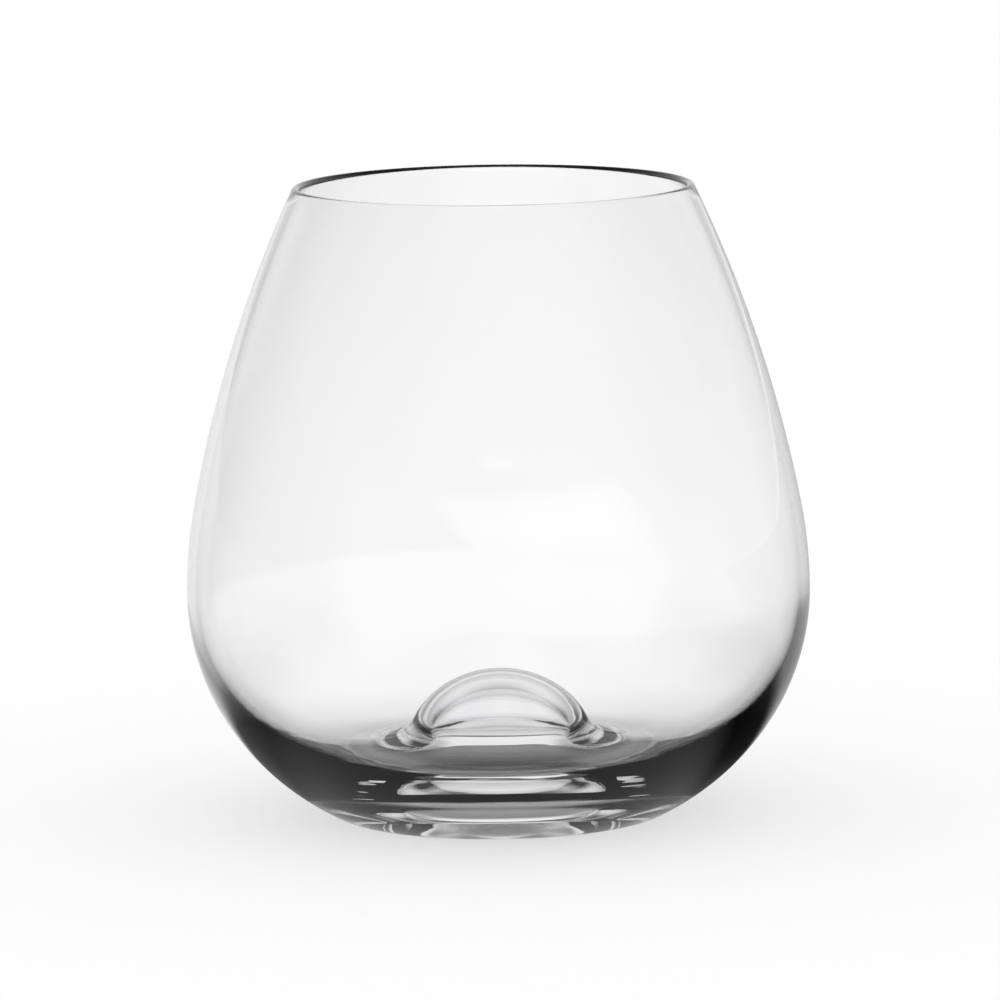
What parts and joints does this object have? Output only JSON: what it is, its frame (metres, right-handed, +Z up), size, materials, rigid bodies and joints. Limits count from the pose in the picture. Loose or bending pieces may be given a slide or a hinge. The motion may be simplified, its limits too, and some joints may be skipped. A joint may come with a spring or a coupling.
{
  "type": "stemless wine glass",
  "caption": "Round stemless wine glass: wide belly drawn in to a fire-polished lip, heavy base with a foot ring and a hollow push-up dome.",
  "frame": {"origin": "centre of the foot, on the surface that the glass stands on", "axes": "+Z up along the axis of revolution; X and Y are alike"},
  "size_m": [0.1, 0.1, 0.1012],
  "materials": {
    "clear_glass": "clear, colourless, fire-polished"
  },
  "bodies": {
    "root": {"glass": "clear_glass"}
  },
  "joints": []
}
